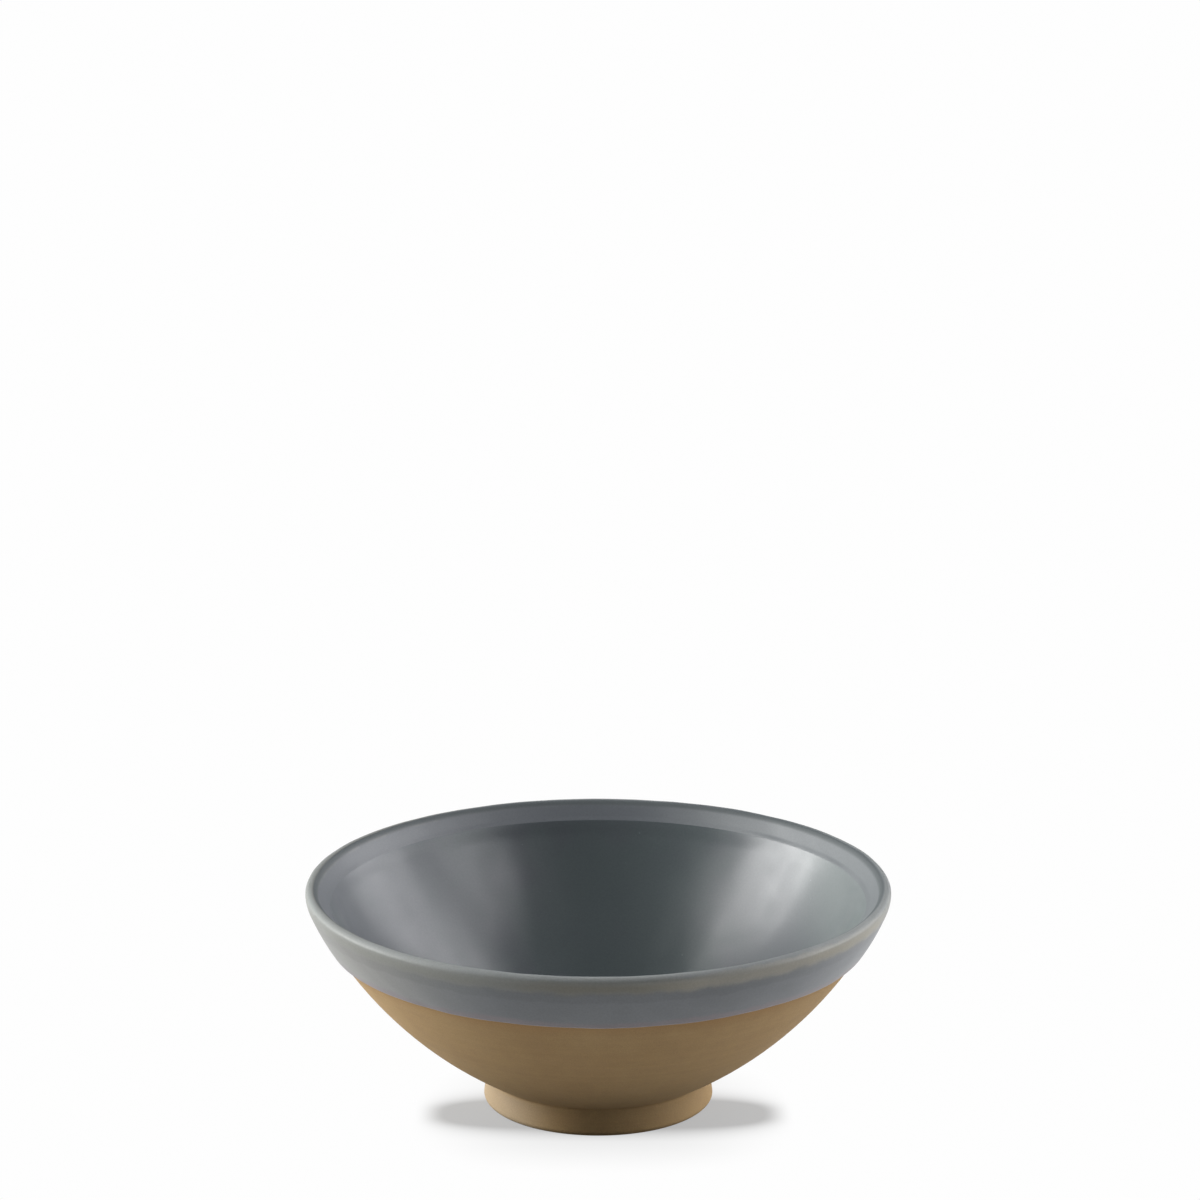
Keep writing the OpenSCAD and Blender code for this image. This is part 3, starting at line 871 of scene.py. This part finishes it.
def studio_camera():
    """The camera of the view from the side: a long lens, above the bowl and pitched down, whose frame is centred
    above the bowl as the photograph's is."""
    frame_px, focal_px, pitch = 1200, 3661.85, 13.55
    data = bpy.data.cameras.new("studio_camera")
    data.sensor_width = 36
    data.lens = data.sensor_width * focal_px / frame_px
    camera = bpy.data.objects.new("studio_camera", data)
    camera.location = (0.00061, -1.25402, 0.48731)
    camera.rotation_euler = Euler((math.radians(90 - pitch), 0, 0))
    bpy.context.scene.collection.objects.link(camera)
    bpy.context.scene.camera = camera


class BOWL_OT_clay_body(Operator):
    """Build the clay floor, wall and lip"""

    bl_idname = "bowl.clay_body"
    bl_label = "Clay Body"
    bl_options = {"REGISTER", "UNDO"}

    def execute(self, context):
        scene = context.scene
        piece = clay_shell(scene.bowl_sizes)
        placed(piece, shared_clay(scene.bowl_finishes), "stoneware_shell")
        return {"FINISHED"}


class BOWL_OT_clay_foot(Operator):
    """Build the clay foot ring"""

    bl_idname = "bowl.clay_foot"
    bl_label = "Clay Foot"
    bl_options = {"REGISTER", "UNDO"}

    def execute(self, context):
        scene = context.scene
        piece = foot_ring(scene.bowl_sizes)
        placed(piece, shared_clay(scene.bowl_finishes), "foot_ring")
        return {"FINISHED"}


class BOWL_OT_liner_coat(Operator):
    """Build the liner glaze"""

    bl_idname = "bowl.liner_coat"
    bl_label = "Liner Glaze"
    bl_options = {"REGISTER", "UNDO"}

    def execute(self, context):
        scene = context.scene
        piece = liner_coat(scene.bowl_sizes)
        placed(piece, liner_finish(scene.bowl_finishes), "liner_glaze")
        return {"FINISHED"}


class BOWL_OT_rim_coat(Operator):
    """Build the rim glaze"""

    bl_idname = "bowl.rim_coat"
    bl_label = "Rim Glaze"
    bl_options = {"REGISTER", "UNDO"}

    def execute(self, context):
        scene = context.scene
        piece = rim_coat(scene.bowl_sizes)
        placed(piece, rim_finish(scene.bowl_finishes), "rim_glaze")
        return {"FINISHED"}


class BOWL_OT_stage(Operator):
    """Build the pale floor, the room, the softboxes and the camera"""

    bl_idname = "bowl.stage"
    bl_label = "Studio Stage"
    bl_options = {"REGISTER", "UNDO"}

    def execute(self, context):
        stage = context.scene.bowl_stage
        pale_floor(stage)
        dim_room(stage)
        studio_lamps(stage)
        studio_camera()
        return {"FINISHED"}


OPERATORS = (BOWL_OT_clay_body, BOWL_OT_clay_foot, BOWL_OT_liner_coat, BOWL_OT_rim_coat, BOWL_OT_stage)


class BOWL_PT_sidebar(Panel):
    """The bowl's pieces and stage, in the order in which they are built"""

    bl_idname = "BOWL_PT_sidebar"
    bl_label = "Conical Bowl"
    bl_space_type = "VIEW_3D"
    bl_region_type = "UI"
    bl_category = "Bowl"

    def draw(self, context):
        for operator in OPERATORS:
            self.layout.operator(operator.bl_idname)


GROUPS = {"bowl_sizes": BowlSizes, "bowl_finishes": BowlFinishes, "bowl_stage": BowlStage}
CLASSES = (*GROUPS.values(), *OPERATORS, BOWL_PT_sidebar)


def register():
    """Registers the classes and hangs the property groups on the scene."""
    for cls in CLASSES:
        bpy.utils.register_class(cls)
    for key, group in GROUPS.items():
        setattr(bpy.types.Scene, key, PointerProperty(type=group))


def unregister():
    """Takes away what register added, in the opposite order."""
    for key in GROUPS:
        delattr(bpy.types.Scene, key)
    for cls in reversed(CLASSES):
        bpy.utils.unregister_class(cls)


def main():
    """Builds the bowl and its stage, piece by piece."""
    register()
    bpy.context.scene.view_settings.view_transform = "Standard"
    bpy.ops.bowl.clay_body()
    bpy.ops.bowl.clay_foot()
    bpy.ops.bowl.liner_coat()
    bpy.ops.bowl.rim_coat()
    bpy.ops.bowl.stage()


if __name__ == "__main__":
    main()
